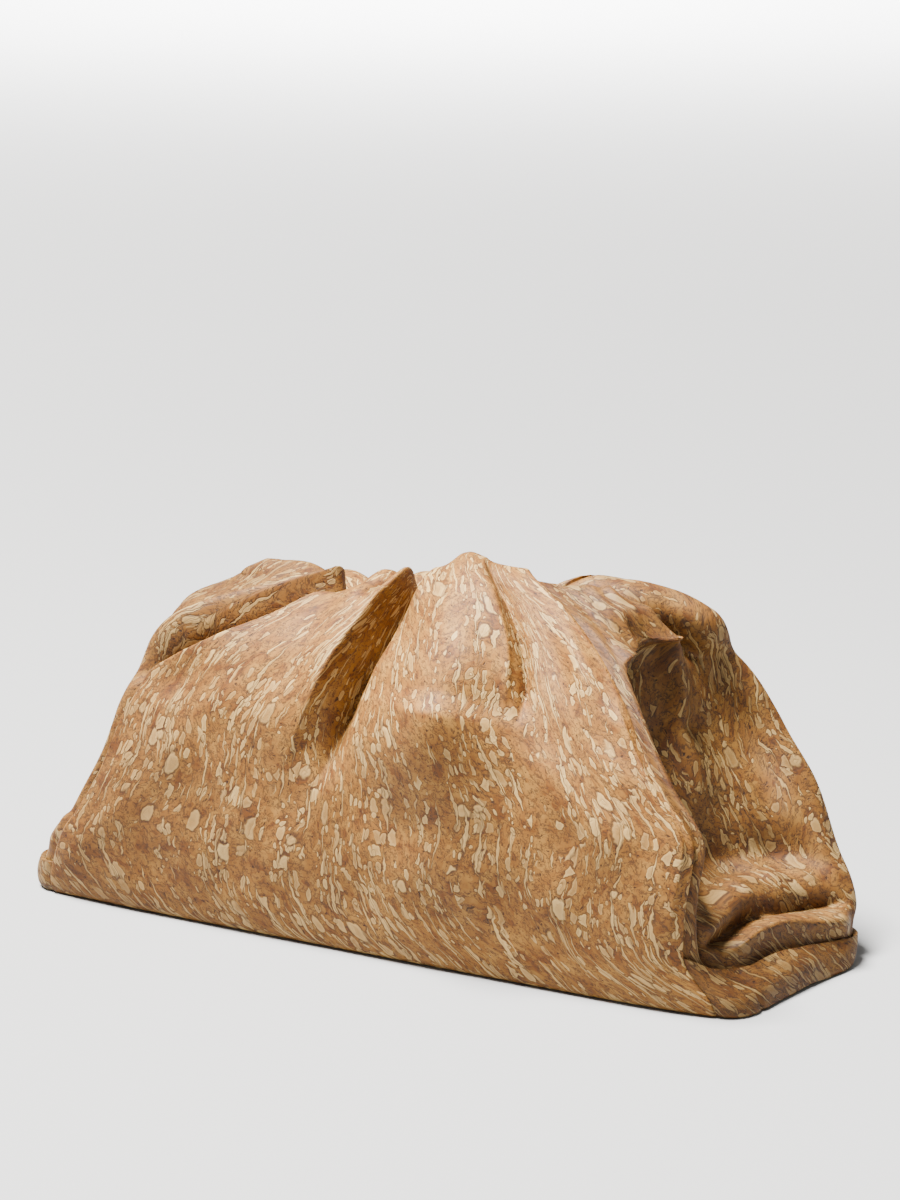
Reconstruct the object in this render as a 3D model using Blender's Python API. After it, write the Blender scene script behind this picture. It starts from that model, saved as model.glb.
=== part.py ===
"""Gathered cork pouch: one closed skin of cloth cut into panels, on a flat base, round a mouth frame.

The skin is a ring carried up the bag. A place on it has two numbers. "Round" counts quarters of
the ring: 0 to 1 is the front from left to right, 1 to 2 the right gusset, 2 to 3 the back, 3 to 4
the left gusset. "Up" is the share of the cloth from the foot, 0, over the crest to the hem, 1.
"""
from collections import namedtuple

import bpy
import numpy as np

# Driving dimensions, in metres
LENGTH = 0.41
DEPTH = 0.155
HEIGHT = 0.196
WALL = 0.0022
GAP = 0.0003
SEAM = 0.0010
BAND_SEAM = 0.0014
BAND_HEIGHT = 0.0165
MOUTH_LENGTH = 0.180
MOUTH_WIDTH = 0.0075
COLLAR_DEPTH = 0.020
MOUTH_BACK = 0.0053
BACK_DROP = 0.005
FRAME_BAR = 0.003
FRAME_HEIGHT = 0.008
FOLD_RISE = 0.010
FOLD_WIDTH = 0.020
FOOT = WALL + GAP

# Shares that shape the ring: how square it is at the foot and the crest, where it stops
# softening, the straight part of the mouth's corner, and how the end tucks round off
FOOT_SQUARE = 9.0
CREST_SQUARE = 5.0
SOFT_UP = 0.7
MOUTH_CORNER = 0.56
TUCK_FORM = 1.7

# Shares up the cloth where the back starts to stand lower, where it is fully lower, where the
# collar starts, and over how much of the cloth the folds die out below it
DROP_FROM = 0.55
DROP_TO = 0.90
COLLAR_UP = 0.95
CREST_FADE = 0.05

# Rings from the foot to the crest. Rises are shares of HEIGHT. The four corners, front left to
# back left, and the tucks are shares of half of LENGTH. Front, back are shares of half of DEPTH.
Ring = namedtuple("Ring", "up rise_mid rise_left rise_right front_left front_right back_right "
                          "back_left front back belly tuck_left tuck_right")
RINGS = [
    Ring(0.00, .000, .000, .000, .895, .900, .965, .965, .755, .500, 0.02, -.02, -.02),
    Ring(0.03, .022, .022, .022, .905, .895, .965, .965, .795, .600, 0.02, -.02, -.02),
    Ring(0.11, .130, .130, .130, .870, .830, .945, .960, .845, .770, 0.01, 0.04, 0.02),
    Ring(0.22, .260, .255, .255, .795, .840, .905, .925, .880, .830, 0.00, 0.15, 0.14),
    Ring(0.35, .415, .405, .405, .715, .860, .850, .875, .890, .850, -.02, 0.17, 0.19),
    Ring(0.46, .548, .532, .532, .665, .780, .770, .835, .860, .840, -.02, 0.06, 0.20),
    Ring(0.56, .640, .625, .625, .610, .710, .715, .775, .790, .810, -.01, -.05, 0.15),
    Ring(0.66, .724, .718, .724, .515, .640, .660, .700, .680, .740, 0.02, -.09, 0.10),
    Ring(0.76, .795, .785, .815, .390, .540, .590, .600, .510, .650, 0.04, -.10, 0.03),
    Ring(0.84, .850, .830, .880, .280, .420, .485, .475, .340, .500, 0.05, -.15, -.08),
    Ring(0.90, .872, .845, .905, .225, .310, .370, .360, .190, .290, 0.03, -.20, -.15),
]

# Folds that run up the cloth. Places are quarters round, heights are shares up, the rise is a
# share of FOLD_RISE, less than nothing for a crease, and the two half widths, before and after
# the fold's line, are shares of FOLD_WIDTH. A pleat grows over the first share of its line,
# PLEAT_START, and ends over the last, PLEAT_END.
Pleat = namedtuple("Pleat", "name low_at low_up mid_at top_at top_up rise before after")
PLEAT_START = 0.35
PLEAT_END = 0.12
PLEATS = [
    Pleat("left mound", 0.06, .50, 0.130, 0.070, 1.00, 0.65, 0.40, 1.30),
    Pleat("left crease", -.03, .52, 0.060, 0.010, 0.94, -.80, 0.40, 0.40),
    Pleat("left pleat", 0.38, .36, 0.425, 0.440, 1.00, 1.00, 1.20, 0.30),
    Pleat("deep crease", 0.435, .34, 0.475, 0.485, 0.93, -1.3, 0.36, 0.50),
    Pleat("centre cone", 0.60, .30, 0.660, 0.735, 1.04, 1.90, 1.10, 0.95),
    Pleat("cone crease", 0.775, .60, 0.820, 0.875, 0.94, -.90, 0.26, 0.30),
    Pleat("right mound", 0.88, .55, 0.930, 0.970, 1.00, 0.45, 0.45, 0.50),
    Pleat("front recess", 1.15, .16, 1.220, 1.220, 0.75, -.35, 0.60, 0.80),
    Pleat("second ridge", 1.55, .25, 1.660, 1.720, 0.95, 1.10, 0.70, 0.45),
    Pleat("back recess", 1.78, .35, 1.790, 1.800, 0.93, -.70, 0.45, 0.36),
    Pleat("top tuck", 1.38, .62, 1.420, 1.460, 0.90, -.45, 0.35, 0.35),
    Pleat("back mound right", 2.12, .45, 2.100, 2.070, 1.00, 0.35, 0.80, 0.50),
    Pleat("back crease right", 2.20, .50, 2.160, 2.130, 0.94, -.70, 0.36, 0.40),
    Pleat("back pleat", 2.42, .35, 2.360, 2.320, 1.00, 0.80, 0.90, 0.40),
    Pleat("back deep crease", 2.50, .42, 2.430, 2.400, 0.93, -.90, 0.36, 0.40),
    Pleat("back cone", 2.62, .40, 2.600, 2.620, 1.00, 0.60, 0.60, 0.80),
    Pleat("back crease left", 2.72, .45, 2.720, 2.740, 0.94, -.70, 0.40, 0.36),
    Pleat("back mound left", 2.86, .45, 2.840, 2.850, 1.00, 0.40, 0.40, 0.80),
    Pleat("left shoulder", 3.45, .45, 3.500, 3.500, 0.95, 0.40, 0.60, 0.60),
    Pleat("left recess", 3.78, .50, 3.800, 3.840, 0.95, -.50, 0.40, 0.40),
]

# Folds that run round the ends above the turned-up bands. Their heights are shares of the
# band's own height, and the other columns are as in the table above. Both ends fade alike.
Roll = namedtuple("Roll", "name low_at low_up mid_up top_at top_up rise before after")
ROLL_END = 0.15
ROLLS = [
    Roll("right roll", 1.04, 1.80, 1.67, 1.94, 1.45, 0.60, 0.28, 0.35),
    Roll("right seam", 1.08, 1.00, 1.00, 1.88, 1.00, -.35, 0.18, 0.18),
    Roll("right shade", 1.04, 2.73, 2.67, 1.85, 2.47, -.50, 0.35, 0.45),
    Roll("left roll", 3.06, 1.45, 1.67, 3.96, 1.80, 0.60, 0.28, 0.35),
    Roll("left seam", 3.12, 1.00, 1.00, 3.92, 1.00, -.35, 0.18, 0.18),
    Roll("left shade", 3.15, 2.47, 2.67, 3.96, 2.73, -.50, 0.35, 0.45),
]

# Cells round each piece and rows up the cloth, how much the cells crowd towards the seams, and
# the share of the rows that lies below BODY_UP
FRONT_CELLS = 44
BACK_CELLS = 32
GUSSET_CELLS = 14
BASE_CELLS = 22
BAND_ROWS = 3
CLOTH_ROWS = 21
END_CROWDING = 0.6
BODY_ROWS = 0.62
BODY_UP = 0.78
SEAM_SEARCH = 0.2
SEAM_STEPS = 40
SHARP_ANGLE = 40.0

# Finishes
CORK = (0.46, 0.25, 0.11, 1.0)
SHADED_CORK = (0.36, 0.19, 0.085, 1.0)
STEEL = (0.55, 0.54, 0.52, 1.0)
CORK_ROUGHNESS = 0.6
STEEL_ROUGHNESS = 0.35


def collar_ring(up, rise_mid, rise_left, rise_right):
    """A ring of the straight collar inside the mouth, as shares like the table's."""
    corner = MOUTH_CORNER * MOUTH_LENGTH / LENGTH
    beyond = (1 - MOUTH_CORNER) * MOUTH_LENGTH / LENGTH
    side = MOUTH_WIDTH / DEPTH / 2 ** (1 / CREST_SQUARE)
    return Ring(up, rise_mid, rise_left, rise_right, corner, corner, corner, corner,
                side, side, 0.0, -beyond, -beyond)


def all_rings():
    """The table's rings with the two rings of the collar after them."""
    crest = RINGS[-1]
    drop = COLLAR_DEPTH / HEIGHT
    rises = np.array([crest.rise_mid, crest.rise_left, crest.rise_right])
    turn = drop * (COLLAR_UP - crest.up) / (1 - crest.up)
    return RINGS + [collar_ring(COLLAR_UP, *(rises - turn)), collar_ring(1.0, *(rises - drop))]


ALL_RINGS = all_rings()
RING_COLUMNS = {name: np.array([getattr(ring, name) for ring in ALL_RINGS])
                for name in Ring._fields}


def smooth(share):
    """A soft step from 0 to 1."""
    share = np.clip(share, 0, 1)
    return share * share * (3 - 2 * share)


def level_slopes(at, values):
    """Slopes for a curve that never overshoots its rows: the harmonic mean of the two steps
    beside a row, and level where they run opposite ways."""
    steps = np.diff(values) / np.diff(at)
    product = steps[:-1] * steps[1:]
    total = np.where(product > 0, steps[:-1] + steps[1:], 1.0)
    inner = np.where(product > 0, 2 * product / total, 0.0)
    return np.concatenate([steps[:1], inner, steps[-1:]])


def column(name, up):
    """A column of the ring table at any height: a cubic through its rows."""
    at = RING_COLUMNS["up"]
    values = RING_COLUMNS[name]
    slopes = level_slopes(at, values)
    row = np.clip(np.searchsorted(at, up, side="right") - 1, 0, len(at) - 2)
    step = at[row + 1] - at[row]
    u = (up - at[row]) / step
    start = (2 * u ** 3 - 3 * u ** 2 + 1) * values[row]
    end = (3 * u ** 2 - 2 * u ** 3) * values[row + 1]
    leaving = (u ** 3 - 2 * u ** 2 + u) * step * slopes[row]
    arriving = (u ** 3 - u ** 2) * step * slopes[row + 1]
    return start + end + leaving + arriving


def square_path(at):
    """Where a place round the ring lies on the edge of a square of half side 1."""
    quarter = np.floor(at).astype(int) % 4
    along = 2 * (at - np.floor(at)) - 1
    one = np.ones_like(along)
    across = np.choose(quarter, [along, one, -along, -one])
    deep = np.choose(quarter, [-one, along, one, -along])
    return across, deep


def base_skin(at, up):
    """The skin before its folds: a rounded square stretched to the four corners of each ring,
    bellied to the front and back, and tucked in or out at the two ends."""
    at = np.asarray(at, float)
    up = np.asarray(up, float)
    across, deep = square_path(at)
    square = FOOT_SQUARE + (CREST_SQUARE - FOOT_SQUARE) * np.sqrt(np.clip(up / SOFT_UP, 0, 1))
    corner = 2 ** (1 / square)
    scale = corner * (np.abs(across) ** square + np.abs(deep) ** square) ** (-1 / square)
    x_share = across * scale
    y_share = deep * scale
    backward = smooth((y_share + 1) / 2)
    left = column("front_left", up) * (1 - backward) + column("back_left", up) * backward
    right = column("front_right", up) * (1 - backward) + column("back_right", up) * backward
    reach = np.where(x_share > 0, right, left)
    side = np.where(y_share < 0, column("front", up), column("back", up))
    belly = 1 + column("belly", up) * (1 - np.clip(x_share ** 2, 0, 1))
    end = smooth(np.abs(x_share)) ** 2
    end_rise = np.where(x_share > 0, column("rise_right", up), column("rise_left", up))
    rise = column("rise_mid", up) * (1 - end) + end_rise * end
    tuck = np.where(across > 0, column("tuck_right", up), column("tuck_left", up))
    tuck = tuck + (corner - 1) * reach
    off_middle = np.where(np.abs(across) >= 1, deep, 1.0)
    tucked = tuck * np.clip(1 - off_middle ** 2, 0, 1) ** TUCK_FORM
    x = LENGTH / 2 * (reach * x_share - np.sign(across) * tucked)
    y = MOUTH_BACK + DEPTH / 2 * side * y_share * belly
    drop = BACK_DROP * backward * smooth((up - DROP_FROM) / (DROP_TO - DROP_FROM))
    z = FOOT + (HEIGHT - FOOT) * rise - drop
    return np.stack([x, y, z], -1)


def cloth_round(at, up):
    """The distance round the cloth from its front left corner, in metres, and the whole way
    round: each quarter has its width between corners."""
    half_length = LENGTH / 2
    ends = DEPTH / 2 * (column("front", up) + column("back", up))
    front = half_length * (column("front_left", up) + column("front_right", up))
    back = half_length * (column("back_left", up) + column("back_right", up))
    starts = np.stack([0 * ends, front, front + ends, front + ends + back])
    widths = np.stack([front, ends, back, ends])
    quarter = np.floor(at).astype(int) % 4
    part = at - np.floor(at)
    return np.choose(quarter, starts) + part * np.choose(quarter, widths), starts[3] + ends


def skin_frame(at, up, small=1e-3):
    """Speeds of the skin round and up, in metres a unit, and its outward normal."""
    below = np.clip(up - small, 0, 1)
    above = np.clip(up + small, 0, 1)
    round_way = (base_skin(at + 3 * small, up) - base_skin(at - 3 * small, up)) / (6 * small)
    up_way = (base_skin(at, above) - base_skin(at, below)) / (above - below)[..., None]
    normal = np.cross(round_way, up_way)
    normal /= np.linalg.norm(normal, axis=-1, keepdims=True)
    return np.linalg.norm(round_way, axis=-1), np.linalg.norm(up_way, axis=-1), normal


def through_three(start, middle, end, share):
    """A parabola that has its three values at shares 0, a half and 1."""
    return start + (4 * middle - 3 * start - end) * share + 2 * (start + end - 2 * middle) * share ** 2


def ridge(distance, before, after):
    """A bell across a fold, with its own half width on each side of the line."""
    width = np.where(distance < 0, before, after) * FOLD_WIDTH
    return np.exp(-(distance / width) ** 2)


def fold_height(at, up, up_speed):
    """How far the folds lift the skin: the sum of every pleat and roll."""
    height = np.zeros_like(up)
    place, girth = cloth_round(at, up)
    for fold in PLEATS:
        share = (up - fold.low_up) / (fold.top_up - fold.low_up)
        line = through_three(fold.low_at, fold.mid_at, fold.top_at, np.clip(share, 0, 1))
        distance = place - cloth_round(line, up)[0]
        distance = (distance + girth / 2) % girth - girth / 2
        fade = smooth(share / PLEAT_START) * smooth((1 - share) / PLEAT_END)
        height += fold.rise * fade * ridge(distance, fold.before, fold.after)
    for fold in ROLLS:
        share = (at - fold.low_at) / (fold.top_at - fold.low_at)
        line = through_three(fold.low_up, fold.mid_up, fold.top_up, np.clip(share, 0, 1))
        distance = (up - line * BAND_UP) * up_speed
        fade = smooth(share / ROLL_END) * smooth((1 - share) / ROLL_END)
        height += fold.rise * fade * ridge(distance, fold.before, fold.after)
    return height * FOLD_RISE * smooth((COLLAR_UP - up) / CREST_FADE)


def skin(at, up, depth=0.0):
    """The folded skin, or a layer that lies a depth inside it, trimmed level at the foot."""
    up_speed, normal = skin_frame(at, up)[1:]
    lift = fold_height(at, up, up_speed) - depth
    points = base_skin(at, up) + normal * lift[..., None]
    points[..., 2] = np.maximum(points[..., 2], FOOT)
    return points


def up_at_height(height):
    """The share up the cloth where the skin's middle is this high above the floor."""
    return np.interp((height - FOOT) / (HEIGHT - FOOT), RING_COLUMNS["rise_mid"][:-2],
                     RING_COLUMNS["up"][:-2])


BAND_UP = up_at_height(BAND_HEIGHT)


def crowded(count):
    """Shares from 0 to 1 that stand closer together near both ends."""
    share = np.linspace(0, 1, count + 1)
    return share - END_CROWDING / (2 * np.pi) * np.sin(2 * np.pi * share)


def round_shares(count):
    """Places all the way round, with this many cells in each quarter."""
    return np.concatenate([quarter + crowded(count)[:-1] for quarter in range(4)])


def rows_up():
    """Heights from foot to hem, with a row at the band's top, closer together over the crest."""
    band = np.linspace(0, BAND_UP, BAND_ROWS, endpoint=False)
    cloth = np.interp(np.linspace(0, 1, CLOTH_ROWS + 1), (0, BODY_ROWS, 1), (BAND_UP, BODY_UP, 1))
    return np.concatenate([band, cloth])


def seam_edge(at, ups, into):
    """Where a panel's edge stands back from a seam, at each height, to leave half of its gap."""
    shifts = np.linspace(0, SEAM_SEARCH, SEAM_STEPS)
    points = base_skin(at + into * shifts[:, None], np.repeat(ups[None, :], len(shifts), axis=0))
    away = np.linalg.norm(points - points[0], axis=-1)
    return at + into * np.array([np.interp(SEAM / 2, line, shifts) for line in away.T])


def sheet_solid(outer, inner):
    """Vertices and faces of the closed sheet between two grids of points. Rim faces on opposite
    edges start at matching corners, so that two panels split alike along a seam."""
    rows, columns = outer.shape[:2]
    points = np.concatenate([outer.reshape(-1, 3), inner.reshape(-1, 3)])
    index = np.arange(rows * columns).reshape(rows, columns)
    a, b = index[:-1, :-1], index[:-1, 1:]
    c, d = index[1:, 1:], index[1:, :-1]
    front = np.stack([a, b, c, d], -1).reshape(-1, 4)
    back = front[:, [0, 3, 2, 1]] + rows * columns
    edge = np.concatenate([index[0, :-1], index[:-1, -1], index[-1, :0:-1], index[:0:-1, 0]])
    nxt = np.roll(edge, -1)
    rim = np.stack([nxt, edge, edge + rows * columns, nxt + rows * columns], -1)
    half = rows + columns - 2
    rim[half:] = np.roll(rim[half:], -1, axis=1)
    return points, np.concatenate([front, back, rim])


def add_solid(name, points, faces, material):
    """One named object at the origin, shaded smooth, with its material."""
    mesh = bpy.data.meshes.new(name)
    mesh.from_pydata(points.tolist(), [], [list(map(int, face)) for face in faces])
    mesh.materials.append(material)
    mesh.shade_smooth()
    mesh.set_sharp_from_angle(angle=np.radians(SHARP_ANGLE))
    made = bpy.data.objects.new(name, mesh)
    bpy.context.scene.collection.objects.link(made)
    return made


def add_panel(name, from_at, to_at, ups, columns, material):
    """A panel of cloth between two seams, one wall thick."""
    start = seam_edge(from_at, ups, 1)
    end = seam_edge(to_at, ups, -1)
    at = start[:, None] + (end - start)[:, None] * crowded(columns)[None, :]
    up = np.repeat(ups[:, None], columns + 1, axis=1)
    add_solid(name, *sheet_solid(skin(at, up), skin(at, up, WALL)), material)


def add_gusset(name, from_at, material):
    """A gusset, from the top of the turned-up band to the hem."""
    ups = rows_up()[BAND_ROWS:]
    ups[0] += BAND_SEAM / 2 / skin_frame(np.array(from_at + 0.5), np.array(BAND_UP))[1]
    add_panel(name, from_at, from_at + 1, ups, GUSSET_CELLS, material)


def add_band(name, from_at, material):
    """The end of the bottom cloth, turned up under a gusset."""
    ups = rows_up()[:BAND_ROWS + 1]
    ups[-1] -= BAND_SEAM / 2 / skin_frame(np.array(from_at + 0.5), np.array(BAND_UP))[1]
    add_panel(name, from_at, from_at + 1, ups, GUSSET_CELLS, material)


def add_base(material):
    """The flat bottom: the foot ring's outline, one wall thick, on the floor."""
    at = round_shares(BASE_CELLS)
    outline = base_skin(at, np.zeros_like(at))
    low = outline * (1, 1, 0)
    high = low + (0, 0, WALL)
    count = len(at)
    ring = np.arange(count)
    nxt = np.roll(ring, -1)
    sides = np.stack([ring, nxt, nxt + count, ring + count], -1)
    faces = [list(ring[::-1]), list(ring + count)] + sides.tolist()
    add_solid("base_panel", np.concatenate([low, high]), faces, material)


def add_frame(material):
    """The hidden bar round the collar that holds the mouth: a closed loop of four faces."""
    at = round_shares(GUSSET_CELLS)
    up_speed = skin_frame(np.array(0.5), np.array(1.0))[1]
    top = 1 - FRAME_HEIGHT / up_speed
    near = WALL + 3 * GAP
    far = near + FRAME_BAR
    corners = [(1.0, near), (top, near), (top, far), (1.0, far)]
    loops = [skin(at, np.full_like(at, up), depth) for up, depth in corners]
    count = len(at)
    ring = np.arange(count)
    nxt = np.roll(ring, -1)
    faces = []
    for corner in range(4):
        here = corner * count
        there = (corner + 1) % 4 * count
        faces.append(np.stack([ring + here, ring + there, nxt + there, nxt + here], -1))
    add_solid("mouth_frame", np.concatenate(loops), np.concatenate(faces), material)


def make_material(name, colour, roughness=CORK_ROUGHNESS, metallic=0.0):
    """A plain finish in one colour."""
    material = bpy.data.materials.new(name)
    material.use_nodes = True
    shader = material.node_tree.nodes["Principled BSDF"]
    shader.inputs["Base Color"].default_value = colour
    shader.inputs["Roughness"].default_value = roughness
    shader.inputs["Metallic"].default_value = metallic
    return material


def main():
    for old in list(bpy.data.objects):
        bpy.data.objects.remove(old)
    add_panel("front_panel", 0, 1, rows_up(), FRONT_CELLS, make_material("front_cork", CORK))
    add_panel("back_panel", 2, 3, rows_up(), BACK_CELLS, make_material("back_cork", CORK))
    add_gusset("gusset_right", 1, make_material("right_gusset_cork", SHADED_CORK))
    add_gusset("gusset_left", 3, make_material("left_gusset_cork", SHADED_CORK))
    add_band("end_band_right", 1, make_material("right_band_cork", CORK))
    add_band("end_band_left", 3, make_material("left_band_cork", CORK))
    add_base(make_material("base_cork", SHADED_CORK))
    add_frame(make_material("frame_steel", STEEL, STEEL_ROUGHNESS, 1.0))


main()
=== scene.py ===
"""Looks of a gathered cork pouch: creased cloth panels with a flake pattern, on a pale floor.

The cloth is one skin, a ring carried up the bag, cut into panels. A place on it has two numbers.
"Round" counts quarters of the ring: 0 to 1 is the front from left to right, 1 to 2 the right
gusset, 2 to 3 the back, 3 to 4 the left gusset. "Up" is the share of the cloth from the foot, 0,
over the crest to the hem, 1.
"""
from collections import namedtuple

import bpy
import numpy as np
from mathutils import Matrix, Vector


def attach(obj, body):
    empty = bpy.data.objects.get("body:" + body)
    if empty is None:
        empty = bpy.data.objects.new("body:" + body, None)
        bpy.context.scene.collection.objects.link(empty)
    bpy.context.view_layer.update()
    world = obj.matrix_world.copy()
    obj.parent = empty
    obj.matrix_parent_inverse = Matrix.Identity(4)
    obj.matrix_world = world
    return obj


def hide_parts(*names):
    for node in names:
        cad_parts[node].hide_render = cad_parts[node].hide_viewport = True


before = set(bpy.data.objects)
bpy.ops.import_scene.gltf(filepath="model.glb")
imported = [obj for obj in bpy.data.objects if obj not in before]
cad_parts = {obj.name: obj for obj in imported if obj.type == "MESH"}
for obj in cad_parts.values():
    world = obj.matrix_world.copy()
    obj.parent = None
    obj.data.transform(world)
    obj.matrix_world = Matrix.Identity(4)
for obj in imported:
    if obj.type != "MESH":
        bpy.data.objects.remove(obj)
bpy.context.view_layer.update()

bl_info = {
    "name": "Gathered cork pouch",
    "version": (1, 0, 0),
    "blender": (4, 5, 0),
    "location": "3D View > Sidebar > Pouch",
    "description": "Builds a gathered cork pouch and the stage that it stands on",
    "category": "Add Mesh",
}

# Rings from the foot to the crest. Rises are shares of the height. The four corners, front left
# to back left, and the tucks are shares of half of the length. Front and back are shares of half
# of the depth.
Ring = namedtuple("Ring", "up rise_mid rise_left rise_right front_left front_right back_right "
                          "back_left front back belly tuck_left tuck_right")
RINGS = [
    Ring(0.00, .000, .000, .000, .895, .900, .965, .965, .755, .500, 0.02, -.02, -.02),
    Ring(0.03, .022, .022, .022, .905, .895, .965, .965, .795, .600, 0.02, -.02, -.02),
    Ring(0.11, .130, .130, .130, .870, .830, .945, .960, .845, .770, 0.01, 0.04, 0.02),
    Ring(0.22, .260, .255, .255, .795, .840, .905, .925, .880, .830, 0.00, 0.15, 0.14),
    Ring(0.35, .415, .405, .405, .715, .860, .850, .875, .890, .850, -.02, 0.17, 0.19),
    Ring(0.46, .548, .532, .532, .665, .780, .770, .835, .860, .840, -.02, 0.06, 0.20),
    Ring(0.56, .640, .625, .625, .610, .710, .715, .775, .790, .810, -.01, -.05, 0.15),
    Ring(0.66, .724, .718, .724, .515, .640, .660, .700, .680, .740, 0.02, -.09, 0.10),
    Ring(0.76, .795, .785, .815, .390, .540, .590, .600, .510, .650, 0.04, -.10, 0.03),
    Ring(0.84, .850, .830, .880, .280, .420, .485, .475, .340, .500, 0.05, -.15, -.08),
    Ring(0.90, .872, .845, .905, .225, .310, .370, .360, .190, .290, 0.03, -.20, -.15),
]

# Folds that run up the cloth. Places are quarters round, heights are shares up, the rise is a
# share of the fold rise, less than nothing for a crease, and the two half widths, before and
# after the fold's line, are shares of the fold width. Form is 2 for a soft fold and 1 for a
# sharp one, and lean is how far a fold tips over to the side, as a share of its rise.
Fold = namedtuple("Fold", "name low_at low_up mid_at top_at top_up rise before after form lean",
                  defaults=(2.0, 0.0))
FOLDS = [
    Fold("left edge", -.05, .52, 0.145, 0.190, 0.86, 0.50, 0.12, 1.20, 1.4, -.30),
    Fold("left puff", -.22, .52, -.050, -.120, 1.00, 1.20, 0.80, 0.50, 2.2),
    Fold("left shade", -.09, .50, 0.115, 0.160, 1.04, -2.3, 0.32, 0.20, 1.6),
    Fold("left nick", 0.385, .79, 0.395, 0.400, 0.97, -.45, 0.14, 0.16, 1.3),
    Fold("left pleat", 0.38, .36, 0.425, 0.440, 0.97, 1.00, 1.20, 0.20, 1.5, 0.28),
    Fold("deep crease", 0.440, .33, 0.472, 0.492, 0.96, -1.7, 0.18, 0.38, 1.3),
    Fold("small mound", 0.560, .78, 0.565, 0.570, 0.97, 0.35, 0.22, 0.22),
    Fold("front swell", 0.635, .08, 0.640, 0.650, 0.62, 0.55, 1.50, 1.30, 2.2),
    Fold("centre cone", 0.60, .30, 0.670, 0.765, 1.04, 1.90, 1.20, 1.00),
    Fold("cone edge", 0.745, .58, 0.775, 0.800, 0.92, 0.25, 0.60, 0.06, 1.3, 0.50),
    Fold("cone crease", 0.760, .56, 0.792, 0.812, 0.90, -.75, 0.07, 0.20, 1.3),
    Fold("right mound", 0.88, .55, 0.930, 0.970, 1.00, 0.45, 0.45, 0.50),
    Fold("right edge", 0.965, .12, 0.975, 0.975, 0.66, 0.25, 0.80, 0.10, 1.4, 0.20),
    Fold("front recess", 1.06, .24, 1.120, 1.160, 0.72, -1.25, 0.16, 1.00, 1.4),
    Fold("corner hollow", 1.085, .08, 1.100, 1.115, 0.30, -1.3, 0.18, 0.26, 1.4),
    Fold("end swell", 1.48, -.12, 1.480, 1.480, 0.20, 1.00, 1.70, 1.70, 2.2),
    Fold("band seam", 1.17, -.06, 1.175, 1.180, 0.13, -.14, 0.05, 0.05, 1.5),
    Fold("second ridge", 1.55, .25, 1.630, 1.640, 0.84, 1.15, 0.55, 0.40, 1.6),
    Fold("flap edge", 1.670, .64, 1.600, 1.330, 1.02, 0.55, 0.80, 0.12, 1.5),
    Fold("flap recess", 1.720, .64, 1.650, 1.390, 1.03, -2.0, 0.16, 0.26, 1.6),
    Fold("back recess", 1.78, .28, 1.790, 1.800, 0.72, -.60, 0.45, 0.36),
    Fold("right puff", 1.880, .66, 1.800, 1.660, 0.98, 0.95, 0.42, 0.75, 2.2),
    Fold("back mound right", 2.14, .62, 2.110, 2.060, 1.02, 1.00, 1.10, 0.60),
    Fold("back crease right", 2.20, .50, 2.160, 2.130, 0.94, -.70, 0.36, 0.40, 1.5),
    Fold("back pleat", 2.42, .35, 2.360, 2.320, 1.00, 0.80, 0.90, 0.30, 1.6, 0.20),
    Fold("back deep crease", 2.50, .42, 2.430, 2.400, 0.93, -1.1, 0.26, 0.40, 1.4),
    Fold("back cone", 2.62, .40, 2.600, 2.620, 1.00, 0.60, 0.60, 0.80),
    Fold("back crease left", 2.72, .45, 2.720, 2.740, 0.94, -.80, 0.34, 0.26, 1.4),
    Fold("back mound left", 2.86, .45, 2.840, 2.850, 1.00, 0.40, 0.40, 0.80),
    Fold("left shoulder", 3.45, .45, 3.500, 3.500, 0.95, 0.40, 0.60, 0.60),
    Fold("left swell", 3.62, -.12, 3.620, 3.620, 0.20, 0.75, 1.90, 1.90, 2.2),
    Fold("left recess", 3.80, .42, 3.820, 3.850, 0.95, -.35, 0.50, 0.40),
]
FOLD_START = 0.35
FOLD_END = 0.12

# Folds that run round the ends. Their heights are shares up, and the other columns are as above.
Roll = namedtuple("Roll", "name low_at low_up mid_up top_at top_up rise before after form",
                  defaults=(2.0,))
ROLLS = [
    Roll("right roll", 1.14, .100, .084, 1.87, .080, 0.75, 0.22, 0.30, 1.7),
    Roll("right roll shade", 1.10, .132, .115, 1.88, .114, -.85, 0.12, 0.30, 1.4),
    Roll("right second roll", 1.08, .172, .148, 1.50, .135, 0.55, 0.25, 0.40),
    Roll("right upper shade", 1.10, .235, .230, 1.85, .215, -.40, 0.30, 0.50),
    Roll("flap lip", 1.07, .728, .735, 1.70, .768, 0.65, 0.08, 0.60, 1.4),
    Roll("flap shade", 1.08, .706, .712, 1.64, .742, -.30, 0.45, 0.10, 1.4),
    Roll("left roll", 3.06, .097, .108, 3.84, .115, 0.45, 0.28, 0.35, 1.7),
    Roll("left roll shade", 3.12, .140, .148, 3.82, .155, -.40, 0.14, 0.30, 1.4),
    Roll("left shade", 3.15, .175, .190, 3.86, .185, -.30, 0.35, 0.45),
]
ROLL_END = 0.15

# Height of the turned-up bands' edges at places round the ends
BAND_EDGE = ((1.0, .112), (1.10, .088), (1.24, .067), (1.5, .056), (1.85, .058), (2.0, .064),
             (3.0, .064), (3.3, .058), (3.8, .060), (4.0, .072))

# Slow waves in the cloth: waves round the bag, waves up it, start and height
WAVES = [(9, 2.3, 0.4, 1.0), (13, -3.1, 2.1, 0.8), (17, 5.2, 4.0, 0.6), (23, -4.4, 1.2, 0.5),
         (29, 7.3, 5.1, 0.4), (37, 6.1, 3.3, 0.35), (41, -9.2, 0.9, 0.3), (19, 9.7, 2.7, 0.45)]

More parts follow.
